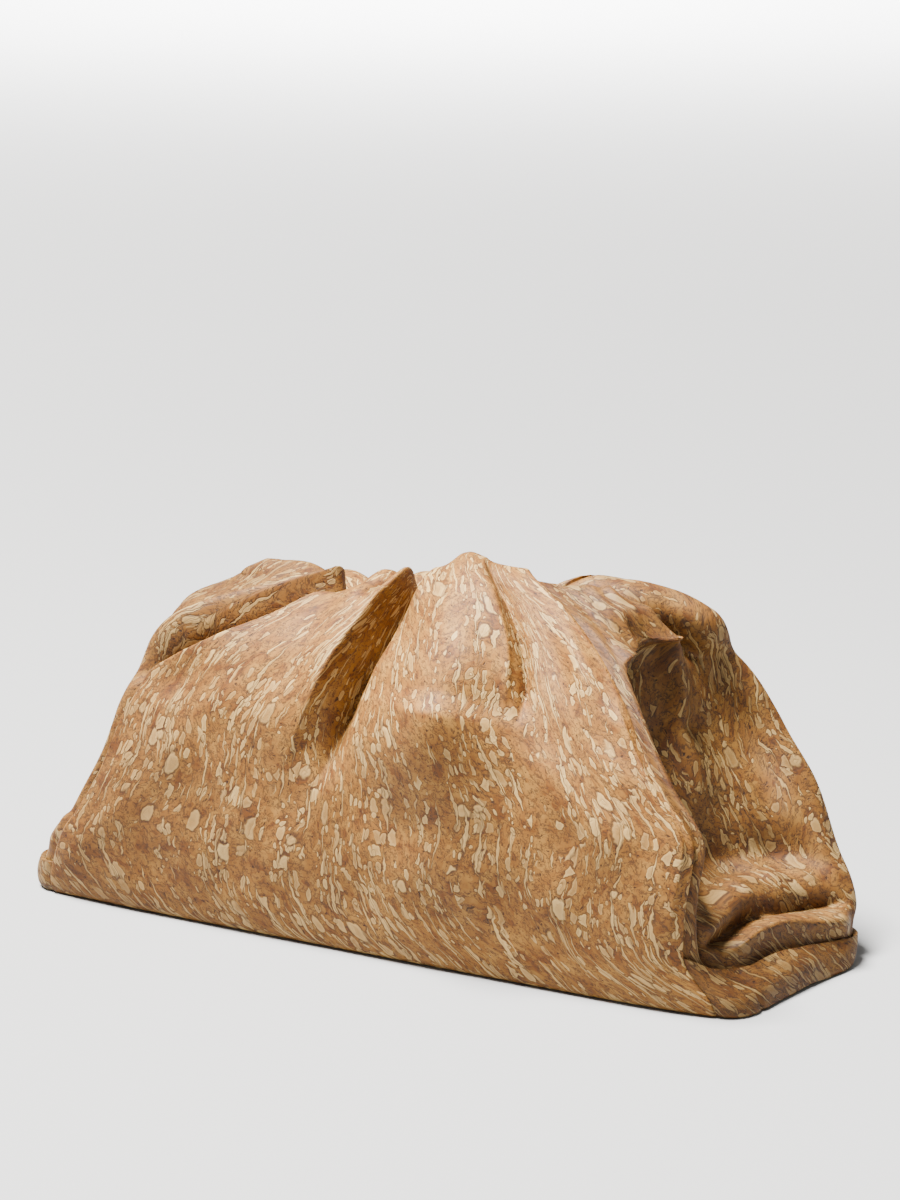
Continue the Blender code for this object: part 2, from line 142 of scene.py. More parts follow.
# Shares that shape the ring
FOOT_SQUARE = 9.0
CREST_SQUARE = 5.0
SOFT_UP = 0.7
MOUTH_CORNER = 0.56
TUCK_FORM = 1.7
DROP_FROM = 0.55
DROP_TO = 0.90
COLLAR_UP = 0.95
CREST_FADE = 0.05
WAVE_START = 0.12
BEHIND_BAND = 0.015

# The cloth's own map: how wide a crease hides spare cloth, as a share of a row, how much of the
# gathering the map follows, and how far, from how high, the pattern leans over at the foot
CREASE_SPREAD = 0.10
GATHERED = 0.8
LEAN = 0.03
LEAN_FROM = 0.06

# Panels: where each quarter starts round the bag, its lower and upper edges, the places that keep
# the cloth's own grain and the creases between them that hide the gathered cloth, and cells
# round and up. None stands for the edge of the band at that end.
Panel = namedtuple("Panel", "name node slot from_at low_up high_up grains creases cells rows")
PANELS = [
    Panel("front_cloth", "front_panel", "front_cork", 0, 0.0, 1.0,
          (.20, .66, .95), (.47, .83), 330, 240),
    Panel("back_cloth", "back_panel", "back_cork", 2, 0.0, 1.0,
          (.10, .34, .61, .88), (.17, .46, .73), 240, 180),
    Panel("right_gusset_cloth", "gusset_right", "right_gusset_cork", 1, None, 1.0,
          (.15, .70), (.30,), 180, 240),
    Panel("left_gusset_cloth", "gusset_left", "left_gusset_cork", 3, None, 1.0,
          (.40, .90), (.75,), 150, 198),
    Panel("right_band_cloth", "end_band_right", "right_band_cork", 1, 0.0, None,
          (.50,), (), 150, 24),
    Panel("left_band_cloth", "end_band_left", "left_band_cork", 3, 0.0, None,
          (.50,), (), 150, 24),
]

# Each third point of an outer side is on its inner side
COARSE = 3


class PouchSizes(bpy.types.PropertyGroup):
    """Sizes of the cloth skin."""
    length: bpy.props.FloatProperty(
        name="Length", description="Length of the ring that the rings' shares are read on",
        default=0.41, unit="LENGTH")
    depth: bpy.props.FloatProperty(
        name="Depth", description="Depth that the rings' shares are read on",
        default=0.155, unit="LENGTH")
    height: bpy.props.FloatProperty(
        name="Height", description="Height that the rings' rises are read on",
        default=0.196, unit="LENGTH")
    wall: bpy.props.FloatProperty(
        name="Wall", description="Thickness of the cloth", default=0.0022, unit="LENGTH")
    gap: bpy.props.FloatProperty(
        name="Gap", description="Clearance between the bottom and the walls",
        default=0.0003, unit="LENGTH")
    seam: bpy.props.FloatProperty(
        name="Seam", description="Width of the line between two panels",
        default=0.00025, unit="LENGTH")
    mouth_length: bpy.props.FloatProperty(
        name="Mouth length", description="Length of the gathered mouth",
        default=0.180, unit="LENGTH")
    mouth_width: bpy.props.FloatProperty(
        name="Mouth width", description="Width of the gathered mouth",
        default=0.0075, unit="LENGTH")
    mouth_back: bpy.props.FloatProperty(
        name="Mouth back", description="How far the mouth lies behind the middle",
        default=0.0053, unit="LENGTH")
    collar_depth: bpy.props.FloatProperty(
        name="Collar depth", description="How far the hem hangs inside the mouth",
        default=0.020, unit="LENGTH")
    back_drop: bpy.props.FloatProperty(
        name="Back drop", description="How much lower the back's crest lies",
        default=0.0105, unit="LENGTH")
    fold_rise: bpy.props.FloatProperty(
        name="Fold rise", description="Height that the folds' rises are read on",
        default=0.010, unit="LENGTH")
    fold_width: bpy.props.FloatProperty(
        name="Fold width", description="Width that the folds' half widths are read on",
        default=0.020, unit="LENGTH")
    seam_dip: bpy.props.FloatProperty(
        name="Seam dip", description="How far a panel's edge is drawn in at its seam",
        default=0.0009, unit="LENGTH")
    seam_reach: bpy.props.FloatProperty(
        name="Seam reach", description="How far from its seam a panel is drawn in",
        default=0.0014, unit="LENGTH")
    tuck: bpy.props.FloatProperty(
        name="Tuck", description="How far an end cloth reaches behind its neighbours",
        default=0.004, unit="LENGTH")
    tuck_rise: bpy.props.FloatProperty(
        name="Tuck rise", description="Length over which a tucked cloth comes out",
        default=0.006, unit="LENGTH")
    wave: bpy.props.FloatProperty(
        name="Wave", description="Height that the slow waves in the cloth are read on",
        default=0.0006, unit="LENGTH")
    foot_soft: bpy.props.FloatProperty(
        name="Foot radius", description="Radius of the cloth where it turns under the foot",
        default=0.0025, unit="LENGTH")
    foot_reach: bpy.props.FloatProperty(
        name="Foot reach", description="Height over which the walls are drawn down to the floor",
        default=0.008, unit="LENGTH")


class CorkFinish(bpy.types.PropertyGroup):
    """Colours of the cork cloth."""
    ground: bpy.props.FloatVectorProperty(
        name="Ground", description="Colour of the ground granules",
        subtype="COLOR", default=(0.180, 0.073, 0.0112))
    rust: bpy.props.FloatVectorProperty(
        name="Rust", description="Colour of the darker patches",
        subtype="COLOR", default=(0.105, 0.034, 0.0045))
    honey: bpy.props.FloatVectorProperty(
        name="Honey", description="Colour of the lighter patches",
        subtype="COLOR", default=(0.252, 0.121, 0.0235))
    flake: bpy.props.FloatVectorProperty(
        name="Flake", description="Colour of the pale flakes",
        subtype="COLOR", default=(0.42, 0.274, 0.100))
    husk: bpy.props.FloatVectorProperty(
        name="Husk", description="Colour of the dimmer flakes",
        subtype="COLOR", default=(0.255, 0.140, 0.040))
    outline: bpy.props.FloatVectorProperty(
        name="Outline", description="Colour of the line round a flake",
        subtype="COLOR", default=(0.038, 0.016, 0.006))
    speck: bpy.props.FloatVectorProperty(
        name="Speck", description="Colour of the dark specks",
        subtype="COLOR", default=(0.014, 0.005, 0.002))
    # The ends' darker tone is partly a darker brown of their own and partly painted shade
    end_tone: bpy.props.FloatProperty(
        name="End tone", description="Tone of the darker batch that the ends are cut from",
        default=0.70)
    backing: bpy.props.FloatVectorProperty(
        name="Backing", description="Colour of the cloth's inner side",
        subtype="COLOR", default=(0.20, 0.115, 0.060))


class StageSettings(bpy.types.PropertyGroup):
    """Floor and lights."""
    floor: bpy.props.FloatVectorProperty(
        name="Floor", description="Colour of the floor round the bag", subtype="COLOR",
        default=(0.305, 0.305, 0.306))
    far_floor: bpy.props.FloatVectorProperty(
        name="Far floor", description="Colour of the floor far behind the bag",
        subtype="COLOR", default=(0.95, 0.95, 0.95))
    key_power: bpy.props.FloatProperty(
        name="Key power", description="Power of the large light at the front left",
        default=1055.0, unit="POWER")
    fill_power: bpy.props.FloatProperty(
        name="Fill power", description="Power of the light at the right",
        default=1.5, unit="POWER")
    back_power: bpy.props.FloatProperty(
        name="Back power", description="Power of the light over the floor far behind",
        default=420.0, unit="POWER")
    sky: bpy.props.FloatProperty(
        name="Sky", description="Strength of the even light from all round", default=0.40)


def smooth(share):
    """A soft step from 0 to 1."""
    share = np.clip(share, 0, 1)
    return share * share * (3 - 2 * share)


def through_three(start, middle, end, share):
    """A parabola that has its three values at shares 0, a half and 1."""
    slope = 4 * middle - 3 * start - end
    return start + slope * share + 2 * (start + end - 2 * middle) * share ** 2


def square_path(at):
    """Where a place round the ring lies on the edge of a square of half side 1."""
    quarter = np.floor(at).astype(int) % 4
    along = 2 * (at - np.floor(at)) - 1
    one = np.ones_like(along)
    across = np.choose(quarter, [along, one, -along, -one])
    deep = np.choose(quarter, [-one, along, one, -along])
    return across, deep


def level_slopes(at, values):
    """Slopes of a curve that never overshoots its rows: the harmonic mean of the two steps
    beside a row, and level where they run opposite ways."""
    steps = np.diff(values) / np.diff(at)
    product = steps[:-1] * steps[1:]
    total = np.where(product > 0, steps[:-1] + steps[1:], 1.0)
    inner = np.where(product > 0, 2 * product / total, 0.0)
    return np.concatenate([steps[:1], inner, steps[-1:]])


class Skin:
    """The folded skin of the bag, from its sizes and the tables."""

    def __init__(self, sizes):
        self.sizes = sizes
        self.foot = sizes.wall + sizes.gap
        rings = RINGS + self.collar()
        self.ups = np.array([ring.up for ring in rings])
        self.columns = {name: np.array([getattr(ring, name) for ring in rings])
                        for name in Ring._fields}

    def collar(self):
        """The two rings of the straight collar inside the mouth, as shares like the table's."""
        s = self.sizes
        crest = RINGS[-1]
        corner = MOUTH_CORNER * s.mouth_length / s.length
        beyond = (1 - MOUTH_CORNER) * s.mouth_length / s.length
        side = s.mouth_width / s.depth / 2 ** (1 / CREST_SQUARE)
        drop = s.collar_depth / s.height
        rises = np.array([crest.rise_mid, crest.rise_left, crest.rise_right])
        turn = drop * (COLLAR_UP - crest.up) / (1 - crest.up)
        return [Ring(up, *(rises - fall), corner, corner, corner, corner, side, side, 0.0,
                     -beyond, -beyond) for up, fall in ((COLLAR_UP, turn), (1.0, drop))]

    def column(self, name, up):
        """A column of the rings at any height: a cubic through its rows."""
        at = self.ups
        values = self.columns[name]
        slopes = level_slopes(at, values)
        row = np.clip(np.searchsorted(at, up, side="right") - 1, 0, len(at) - 2)
        step = at[row + 1] - at[row]
        u = (up - at[row]) / step
        start = (2 * u ** 3 - 3 * u ** 2 + 1) * values[row]
        end = (3 * u ** 2 - 2 * u ** 3) * values[row + 1]
        leaving = (u ** 3 - 2 * u ** 2 + u) * step * slopes[row]
        arriving = (u ** 3 - u ** 2) * step * slopes[row + 1]
        return start + end + leaving + arriving

    def base(self, at, up):
        """The skin before its folds: a rounded square stretched to the four corners of each
        ring, bellied to the front and back, and tucked in or out at the two ends."""
        s = self.sizes
        across, deep = square_path(at)
        soft = np.sqrt(np.clip(up / SOFT_UP, 0, 1))
        square = FOOT_SQUARE + (CREST_SQUARE - FOOT_SQUARE) * soft
        corner = 2 ** (1 / square)
        scale = corner * (np.abs(across) ** square + np.abs(deep) ** square) ** (-1 / square)
        x_share = across * scale
        y_share = deep * scale
        column = {name: self.column(name, up) for name in Ring._fields[1:]}
        backward = smooth((y_share + 1) / 2)
        left = column["front_left"] * (1 - backward) + column["back_left"] * backward
        right = column["front_right"] * (1 - backward) + column["back_right"] * backward
        reach = np.where(x_share > 0, right, left)
        side = np.where(y_share < 0, column["front"], column["back"])
        belly = 1 + column["belly"] * (1 - np.clip(x_share ** 2, 0, 1))
        end = smooth(np.abs(x_share)) ** 2
        end_rise = np.where(x_share > 0, column["rise_right"], column["rise_left"])
        rise = column["rise_mid"] * (1 - end) + end_rise * end
        tuck = np.where(across > 0, column["tuck_right"], column["tuck_left"])
        tuck = tuck + (corner - 1) * reach
        off_middle = np.where(np.abs(across) >= 1, deep, 1.0)
        tucked = tuck * np.clip(1 - off_middle ** 2, 0, 1) ** TUCK_FORM
        x = s.length / 2 * (reach * x_share - np.sign(across) * tucked)
        y = s.mouth_back + s.depth / 2 * side * y_share * belly
        drop = s.back_drop * backward * smooth((up - DROP_FROM) / (DROP_TO - DROP_FROM))
        z = self.foot + (s.height - self.foot) * rise - drop
        return np.stack([x, y, z], -1)

    def round_way(self, at, up):
        """The distance round the cloth from its front left corner, and the whole way round:
        each quarter has its width between corners."""
        half = self.sizes.length / 2
        ends = self.sizes.depth / 2 * (self.column("front", up) + self.column("back", up))
        front = half * (self.column("front_left", up) + self.column("front_right", up))
        back = half * (self.column("back_left", up) + self.column("back_right", up))
        starts = np.stack([0 * ends, front, front + ends, front + ends + back])
        widths = np.stack([front, ends, back, ends])
        quarter = np.floor(at).astype(int) % 4
        part = at - np.floor(at)
        return np.choose(quarter, starts) + part * np.choose(quarter, widths), starts[3] + ends

    def lie(self, at, up, small=1e-3):
        """The skin's speed up the cloth, its direction round the bag and its outward normal."""
        below = np.clip(up - small, 0, 1)
        above = np.clip(up + small, 0, 1)
        along = self.base(at + 3 * small, up) - self.base(at - 3 * small, up)
        upward = (self.base(at, above) - self.base(at, below)) / (above - below)[..., None]
        normal = np.cross(along, upward)
        normal /= np.linalg.norm(normal, axis=-1, keepdims=True)
        along /= np.linalg.norm(along, axis=-1, keepdims=True)
        return np.linalg.norm(upward, axis=-1), along, normal

    def bell(self, distance, fold):
        """A bell across a fold: e to the power of minus the distance in half widths, raised to
        the fold's form, with its own half width on each side of the line."""
        width = np.where(distance < 0, fold.before, fold.after) * self.sizes.fold_width
        return np.exp(-(np.abs(distance) / width) ** fold.form)

    def folds(self, at, up, up_speed, rolled=True):
        """How far the folds lift the skin, and how far they tip it to the side."""
        lift = np.zeros_like(up)
        tip = np.zeros_like(up)
        place, girth = self.round_way(at, up)
        for fold in FOLDS:
            share = (up - fold.low_up) / (fold.top_up - fold.low_up)
            line = through_three(fold.low_at, fold.mid_at, fold.top_at, np.clip(share, 0, 1))
            distance = place - self.round_way(line, up)[0]
            distance = (distance + girth / 2) % girth - girth / 2
            fade = smooth(share / FOLD_START) * smooth((1 - share) / FOLD_END)
            raised = fold.rise * fade * self.bell(distance, fold)
            lift += raised
            tip += raised * fold.lean
        for fold in ROLLS if rolled else ():
            share = (at % 4 - fold.low_at) / (fold.top_at - fold.low_at)
            line = through_three(fold.low_up, fold.mid_up, fold.top_up, np.clip(share, 0, 1))
            distance = (up - line) * up_speed
            fade = smooth(share / ROLL_END) * smooth((1 - share) / ROLL_END)
            lift += fold.rise * fade * self.bell(distance, fold)
        keep = self.sizes.fold_rise * smooth((COLLAR_UP - up) / CREST_FADE)
        return lift * keep, tip * keep

    def waves(self, at, up):
        """Slow waves in the cloth: a sum of sines round and up the bag, from the waves' table."""
        phase = np.pi / 2 * at
        total = sum(height * np.sin(turns * phase + climbs * np.pi * up + start)
                    for turns, climbs, start, height in WAVES)
        fade = smooth(up / WAVE_START) * smooth((COLLAR_UP - up) / CREST_FADE)
        return self.sizes.wave * total * fade

    def surface(self, at, up, depth=0.0, rolled=True):
        """The folded skin, or a layer that lies a depth inside it. Near the floor it is drawn
        down to it, and it turns in along a quarter circle at its foot."""
        s = self.sizes
        up_speed, along, normal = self.lie(at, up)
        lift, tip = self.folds(at, up, up_speed, rolled)
        lift = lift + self.waves(at, up) - depth
        points = self.base(at, up) + normal * lift[..., None] + along * tip[..., None]
        high = np.maximum(points[..., 2], self.foot)
        high = high - (self.foot - s.gap) * (1 - smooth((high - self.foot) / s.foot_reach))
        below = np.clip(s.foot_soft - high, 0, s.foot_soft)
        turned = s.foot_soft - np.sqrt(s.foot_soft ** 2 - below ** 2)
        points -= normal * turned[..., None]
        points[..., 2] = high
        return points


def lengths(points, axis):
    """Running length along the rows or columns of a grid of points, from 0."""
    steps = np.linalg.norm(np.diff(points, axis=axis), axis=-1)
    pad = [(0, 0), (0, 0)]
    pad[axis] = (1, 0)
    return np.pad(np.cumsum(steps, axis=axis), pad)


def cloth_map(points, panel):
    """Where each point lies on the flat cloth, in metres. Across the cloth it is the length
    along its row, set to the foot's own length at each grain line. The cloth that the foot has
    over a gathered row is taken up in the creases between grain lines. Up the cloth it is the
    length along its column. Near the foot the pattern leans over."""
    arc = lengths(points, 1)
    foot = arc[0]
    share = np.linspace(0, 1, points.shape[1])
    grain = np.array([np.interp(place, share, np.arange(len(share))) for place in panel.grains])
    low = grain.astype(int)
    part = grain - low
    at_grain = arc[:, low] * (1 - part) + arc[:, low + 1] * part
    foot_grain = at_grain[0]
    across = arc - at_grain[:, :1] + foot_grain[0]
    for k, crease in enumerate(panel.creases):
        spare = (foot_grain[k + 1] - foot_grain[k]) - (at_grain[:, k + 1] - at_grain[:, k])
        across += spare[:, None] * smooth((share - crease) / CREASE_SPREAD + 0.5)
    across = foot + (across - foot) * GATHERED
    up = lengths(points, 0)
    lean = np.clip(1 - up / LEAN_FROM, 0, 1) ** 2 * LEAN
    return np.stack([across - lean, up], -1)


def border(rows, columns):
    """Indices round the edge of a grid: foot, far side, hem and near side, back to the start."""
    index = np.arange(rows * columns).reshape(rows, columns)
    return np.concatenate([index[0, :-1], index[:-1, -1], index[-1, :0:-1], index[::-1, 0]])


def sheet_faces(outer_shape, inner_shape):
    """Faces of a closed sheet: the outer grid, a coarser inner grid that faces the other way,
    and a rim whose faces each span one inner cell and the outer cells beside it."""
    rows, columns = outer_shape[:2]
    start = rows * columns
    index = np.arange(start).reshape(rows, columns)
    front = np.stack([index[:-1, :-1], index[:-1, 1:], index[1:, 1:], index[1:, :-1]], -1)
    inner_rows, inner_columns = inner_shape[:2]
    inner = start + np.arange(inner_rows * inner_columns).reshape(inner_rows, inner_columns)
    back = np.stack([inner[:-1, :-1], inner[1:, :-1], inner[1:, 1:], inner[:-1, 1:]], -1)
    fine = border(rows, columns)
    coarse = border(inner_rows, inner_columns) + start
    step = (len(fine) - 1) // (len(coarse) - 1)
    spans = np.arange(len(coarse) - 1)[:, None] * step + np.arange(step, -1, -1)[None, :]
    rim = np.concatenate([fine[spans], coarse[:-1, None], coarse[1:, None]], axis=1)
    return front.reshape(-1, 4), back.reshape(-1, 4), rim


def make_sheet(name, outer, inner, flat_map, materials):
    """A named closed sheet with its cloth map, its outer side and rim in the first material and
    its inner side in the second."""
    front, back, rim = sheet_faces(outer.shape, inner.shape)
    points = np.concatenate([outer.reshape(-1, 3), inner.reshape(-1, 3)])
    mesh = bpy.data.meshes.new(name)
    mesh.from_pydata(points, [], front.tolist() + back.tolist() + rim.tolist())
    for material in materials:
        mesh.materials.append(material)
    kinds = np.concatenate([np.zeros(len(front), int), np.ones(len(back), int),
                            np.zeros(len(rim), int)])
    mesh.polygons.foreach_set("material_index", kinds.astype(np.int32))
    coarse_map = flat_map[::COARSE, ::COARSE]
    on_cloth = np.concatenate([flat_map.reshape(-1, 2), coarse_map.reshape(-1, 2)])
    corners = np.empty(len(mesh.loops), np.int32)
    mesh.loops.foreach_get("vertex_index", corners)
    layer = mesh.uv_layers.new(name="cloth")
    layer.uv.foreach_set("vector", on_cloth[corners].astype(np.float32).ravel())
    mesh.shade_smooth()
    mesh.set_sharp_from_angle(angle=np.radians(70))
    mesh.update()
    made = bpy.data.objects.new(name, mesh)
    bpy.context.scene.collection.objects.link(made)
    return made


class Number:
    """A number in a material, with arithmetic that adds Math nodes."""

    def __init__(self, shade, socket):
        self.shade = shade
        self.socket = socket

    def math(self, operation, *others):
        inputs = dict(enumerate([self, *others]))
        return self.shade.add("ShaderNodeMath", {"operation": operation}, inputs).number("Value")

    def __add__(self, other):
        return self.math("ADD", other)

    __radd__ = __add__

    def __sub__(self, other):
        return self.math("SUBTRACT", other)

    def __rsub__(self, other):
        return (self * -1).math("ADD", other)

    def __mul__(self, other):
        return self.math("MULTIPLY", other)

    __rmul__ = __mul__

    def __truediv__(self, other):
        return self.math("DIVIDE", other)

    def step(self, low, high):
        """A soft step: 0 where the number is at low, 1 where it is at high."""
        node = self.shade.add("ShaderNodeMapRange", {"interpolation_type": "SMOOTHSTEP"},
                              {"Value": self, "From Min": low, "From Max": high})
        return node.number("Result")


class Placed:
    """A node in a material, whose outputs are read by name."""

    def __init__(self, shade, node):
        self.shade = shade
        self.node = node

    def number(self, name):
        return Number(self.shade, self.node.outputs[name])

    def link(self, name):
        return self.node.outputs[name]


class Shade:
    """A material that is being made, with its Principled shader."""

    def __init__(self, name):
        self.material = bpy.data.materials.new(name)
        self.material.use_nodes = True
        self.tree = self.material.node_tree
        self.principled = self.tree.nodes["Principled BSDF"]

    def fill(self, node, inputs):
        """Sets or links a node's sockets, by name or by number."""
        for key, value in inputs.items():
            if isinstance(value, Number):
                value = value.socket
            if isinstance(value, bpy.types.NodeSocket):
                self.tree.links.new(value, node.inputs[key])
            else:
                node.inputs[key].default_value = value

    def add(self, kind, settings=None, inputs=None):
        """Adds a node of any kind: its settings first, a ramp's stops among them, then its
        sockets."""
        node = self.tree.nodes.new(kind)
        for key, value in (settings or {}).items():
            setattr(node, key, value)
        self.fill(node, inputs or {})
        return Placed(self, node)

    def mix(self, share, first, second, blend="MIX"):
        """The first colour turned into the second by a share."""
        node = self.add("ShaderNodeMix", {"data_type": "RGBA", "blend_type": blend})
        self.fill(node.node, {0: share, 6: first, 7: second})
        return node.node.outputs[2]

    def vector(self, x, y, z=0.0):
        """A vector from three numbers."""
        return self.add("ShaderNodeCombineXYZ", None, {0: x, 1: y, 2: z}).link("Vector")

    def noise(self, vector, scale, detail=2.0, roughness=0.5):
        """Noise around a half."""
        node = self.add("ShaderNodeTexNoise", {"noise_dimensions": "2D"},
                        {"Vector": vector, "Scale": scale, "Detail": detail,
                         "Roughness": roughness})
        return node.number("Fac")

    def cells(self, vector, feature="F1", metric="EUCLIDEAN"):
        """A cell pattern of size 1."""
        return self.add("ShaderNodeTexVoronoi",
                        {"voronoi_dimensions": "2D", "feature": feature, "distance": metric},
                        {"Vector": vector, "Scale": 1.0, "Randomness": 1.0})

    def shine(self, **inputs):
        """Sets the shader's own sockets, whose names have underscores here for spaces."""
        names = {key.replace("_", " "): value for key, value in inputs.items()}
        self.fill(self.principled, names)
        return self.material


def opaque(colour):
    """A colour with full alpha."""
    return (*colour, 1.0)


# Flakes of the cork cloth. Cells are in millimetres across and up, the chance is the share of
# cells that hold a flake, and the two radii are shares of a cell.
Flake = namedtuple("Flake", "name across up chance small large metric shift")
FLAKES = [
    Flake("ovals", 4.2, 7.4, 0.28, 0.14, 0.46, "EUCLIDEAN", 61.3),
    Flake("beads", 2.9, 4.6, 0.13, 0.12, 0.40, "EUCLIDEAN", 73.1),
    Flake("slivers", 3.2, 24.0, 0.34, 0.08, 0.32, "MANHATTAN", 17.3),
    Flake("blobs", 11.5, 15.0, 0.18, 0.17, 0.38, "EUCLIDEAN", 41.9),
    Flake("threads", 5.0, 72.0, 0.60, 0.10, 0.25, "MANHATTAN", 3.7),
]
# Flakes that lie edge to edge: their radii are how far each is drawn in from its cell's edge
TILES = Flake("tiles", 3.6, 7.4, 0.15, 0.05, 0.21, "EUCLIDEAN", 5.3)
# The two nets of fine dark lines: cell in millimetres, shift, and width as a share of a cell
NETS = ((4.2, 0.0, 0.11), (2.7, 11.0, 0.13))
# Where the cloth is darkened as painted shade, in millimetres from the edge of its map, and the
# tint there
PAINTED_SHADE_TO = 150
PAINTED_SHADE_FROM = 15
PAINTED_SHADE_TINT = (0.76, 0.73, 0.70, 1.0)


def cork_material(name, finish, tone=1.0):
    """Cork cloth on its own map, in millimetres: granules in three browns, fine dark lines and
    specks, and pale flakes with thin outlines that gather in bands up the cloth. Painted shade
    darkens the cloth towards the edge that its map starts at. A tone below 1 darkens the whole
    cloth: partly a darker brown of its own and partly painted shade."""
    shade = Shade(name)
    flat = shade.add("ShaderNodeUVMap", {"uv_map": "cloth"}).link("UV")
    split = shade.add("ShaderNodeSeparateXYZ", None, {0: flat})
    across = split.number("X") * 1000
    up = split.number("Y") * 1000
    plain = shade.vector(across, up)
    sway = shade.noise(shade.vector(across, up * 0.6), 0.022, 1.0) - 0.5
    wobble = shade.noise(shade.vector(across + 91, up + 17), 0.085, 2.0) - 0.5
    waver = shade.noise(shade.vector(across + 13, up + 57), 0.10, 2.0) - 0.5
    ruffle = shade.noise(shade.vector(across + 40, up + 81), 0.42, 1.0) - 0.5
    x = across + sway * 18 + wobble * 5.0 + ruffle * 0.8
    y = up + waver * 8.0 + ruffle * 1.6
    bands = shade.noise(shade.vector(x / 13, y / 70), 1.0, 2.0, 0.6).step(0.34, 0.66)

    granules = shade.cells(shade.vector(x / 3.6, y / 4.2))
    tint = shade.add("ShaderNodeSeparateColor", None, {0: granules.link("Color")})
    patch = shade.noise(plain, 0.085, 3.0, 0.6)
    toned = patch * 0.72 + tint.number("Red") * 0.28
    colour = shade.mix(toned.step(0.26, 0.47), opaque(finish.rust), opaque(finish.ground))
    colour = shade.mix(toned.step(0.46, 0.74) * 0.85, colour, opaque(finish.honey))
    scribble = None
    for size, shift, width in NETS:
        curl = shade.noise(shade.vector(across + shift, up - shift), 0.62, 2.0, 0.6) - 0.5
        edge = shade.cells(shade.vector(x / size + curl * 1.3 + shift, y / (size * 1.2) - curl),
                           "DISTANCE_TO_EDGE").number("Distance")
        broken = shade.noise(shade.vector(x + shift * 3, y), 0.33, 2.0).step(0.42, 0.54)
        line = edge.step(width, width * 0.35) * broken
        scribble = line if scribble is None else scribble.math("MAXIMUM", line)
    colour = shade.mix(scribble * 0.74, colour, opaque(finish.outline))
    height = shade.noise(plain, 1.3, 3.0, 0.6) * 0.30 - scribble * 0.35

    where = shade.vector(x / TILES.across + TILES.shift, y / TILES.up)
    dice = shade.add("ShaderNodeSeparateColor", None, {0: shade.cells(where).link("Color")})
    edge = shade.cells(where, "DISTANCE_TO_EDGE").number("Distance")
    likely = bands * TILES.chance * 1.7 + TILES.chance * 0.15
    there = (likely - dice.number("Green")).step(0.0, 0.02)
    inside = edge - (dice.number("Red") * (TILES.large - TILES.small) + TILES.small)
    flaked = inside.step(0.0, 0.04) * there
    rim = inside.step(-0.15, -0.06) * there * (1 - flaked)
    dim = dice.number("Blue") * 0.6 + inside.step(0.06, 0.30) * 0.35
    pale = shade.mix(dim, opaque(finish.flake), opaque(finish.husk))
    colour = shade.mix(rim * 0.55, colour, opaque(finish.outline))
    colour = shade.mix(flaked * (0.90 - dim * 0.35), colour, pale)
    height = height + flaked * 0.35 - rim * 0.5
    for flake in FLAKES:
        cell = shade.cells(shade.vector(x / flake.across + flake.shift, y / flake.up),
                           metric=flake.metric)
        dice = shade.add("ShaderNodeSeparateColor", None, {0: cell.link("Color")})
        likely = bands * flake.chance * 1.4 + flake.chance * 0.25
        there = (likely - dice.number("Green")).step(0.0, 0.02)
        radius = dice.number("Red") * (flake.large - flake.small) + flake.small
        inside = radius - cell.number("Distance")
        body = inside.step(-0.02, 0.06) * there
        rim = inside.step(-0.12, -0.04) * (1 - body) * there
        dim = dice.number("Blue") * 0.6 + inside.step(0.05, 0.25) * 0.3
        pale = shade.mix(dim, opaque(finish.flake), opaque(finish.husk))
        colour = shade.mix(rim * 0.60, colour, opaque(finish.outline))
        colour = shade.mix(body * (0.92 - dim * 0.35), colour, pale)
        height = height + body * 0.45 - rim * 0.6
        flaked = flaked.math("MAXIMUM", body)

    specks = shade.cells(shade.vector(x / 3.3 + 7, y / 3.0))
    dice = shade.add("ShaderNodeSeparateColor", None, {0: specks.link("Color")})
    size = (dice.number("Red") * 0.27 - 0.08) * (1 - flaked * 0.8)
    dots = (size - specks.number("Distance")).step(0.0, 0.05)
    colour = shade.mix(dots * 0.85, colour, opaque(finish.speck))
    # Painted shade: the cloth is darker towards the edge that its map starts at
    colour = shade.mix(across.step(PAINTED_SHADE_TO, PAINTED_SHADE_FROM), colour, PAINTED_SHADE_TINT, "MULTIPLY")
    # The ends' tone: partly their own darker brown, partly painted shade
    if tone < 1:
        colour = shade.mix(1.0, colour, (tone, tone, tone, 1.0), "MULTIPLY")
    bump = shade.add("ShaderNodeBump", None, {"Strength": 0.5, "Distance": 0.00022,
                                               "Height": height - dots * 0.8})
    rough = flaked * -0.08 + shade.noise(plain, 0.5, 2.0) * 0.14 + 0.58
    return shade.shine(Base_Color=colour, Roughness=rough, Normal=bump.link("Normal"),
                       Specular_IOR_Level=0.22)


def backing_material(name, finish):
    """The cloth's inner side: a fine twill in one brown."""
    shade = Shade(name)
    flat = shade.add("ShaderNodeUVMap", {"uv_map": "cloth"}).link("UV")
    weave = shade.add("ShaderNodeTexWave", {"bands_direction": "DIAGONAL"},
                      {"Vector": flat, "Scale": 420.0, "Distortion": 0.4}).number("Fac")
    colour = shade.mix(weave * 0.35, opaque(finish.backing), opaque(finish.speck))
    bump = shade.add("ShaderNodeBump", None, {"Strength": 0.5, "Distance": 0.0002,
                                               "Height": weave})
    return shade.shine(Base_Color=colour, Roughness=0.85, Normal=bump.link("Normal"))


def steel_material(name):
    """Brushed steel for the bar in the mouth, drawn along its length."""
    shade = Shade(name)
    place = shade.add("ShaderNodeTexCoord").link("Object")
    drawn = shade.add("ShaderNodeMapping", None, {"Vector": place, "Scale": (20, 900, 900)})
    streak = shade.add("ShaderNodeTexNoise", None, {"Vector": drawn.link("Vector"), "Scale": 1.0})
    rough = streak.number("Fac") * 0.2 + 0.25
    return shade.shine(Base_Color=(0.55, 0.54, 0.52, 1.0), Metallic=1.0, Roughness=rough)


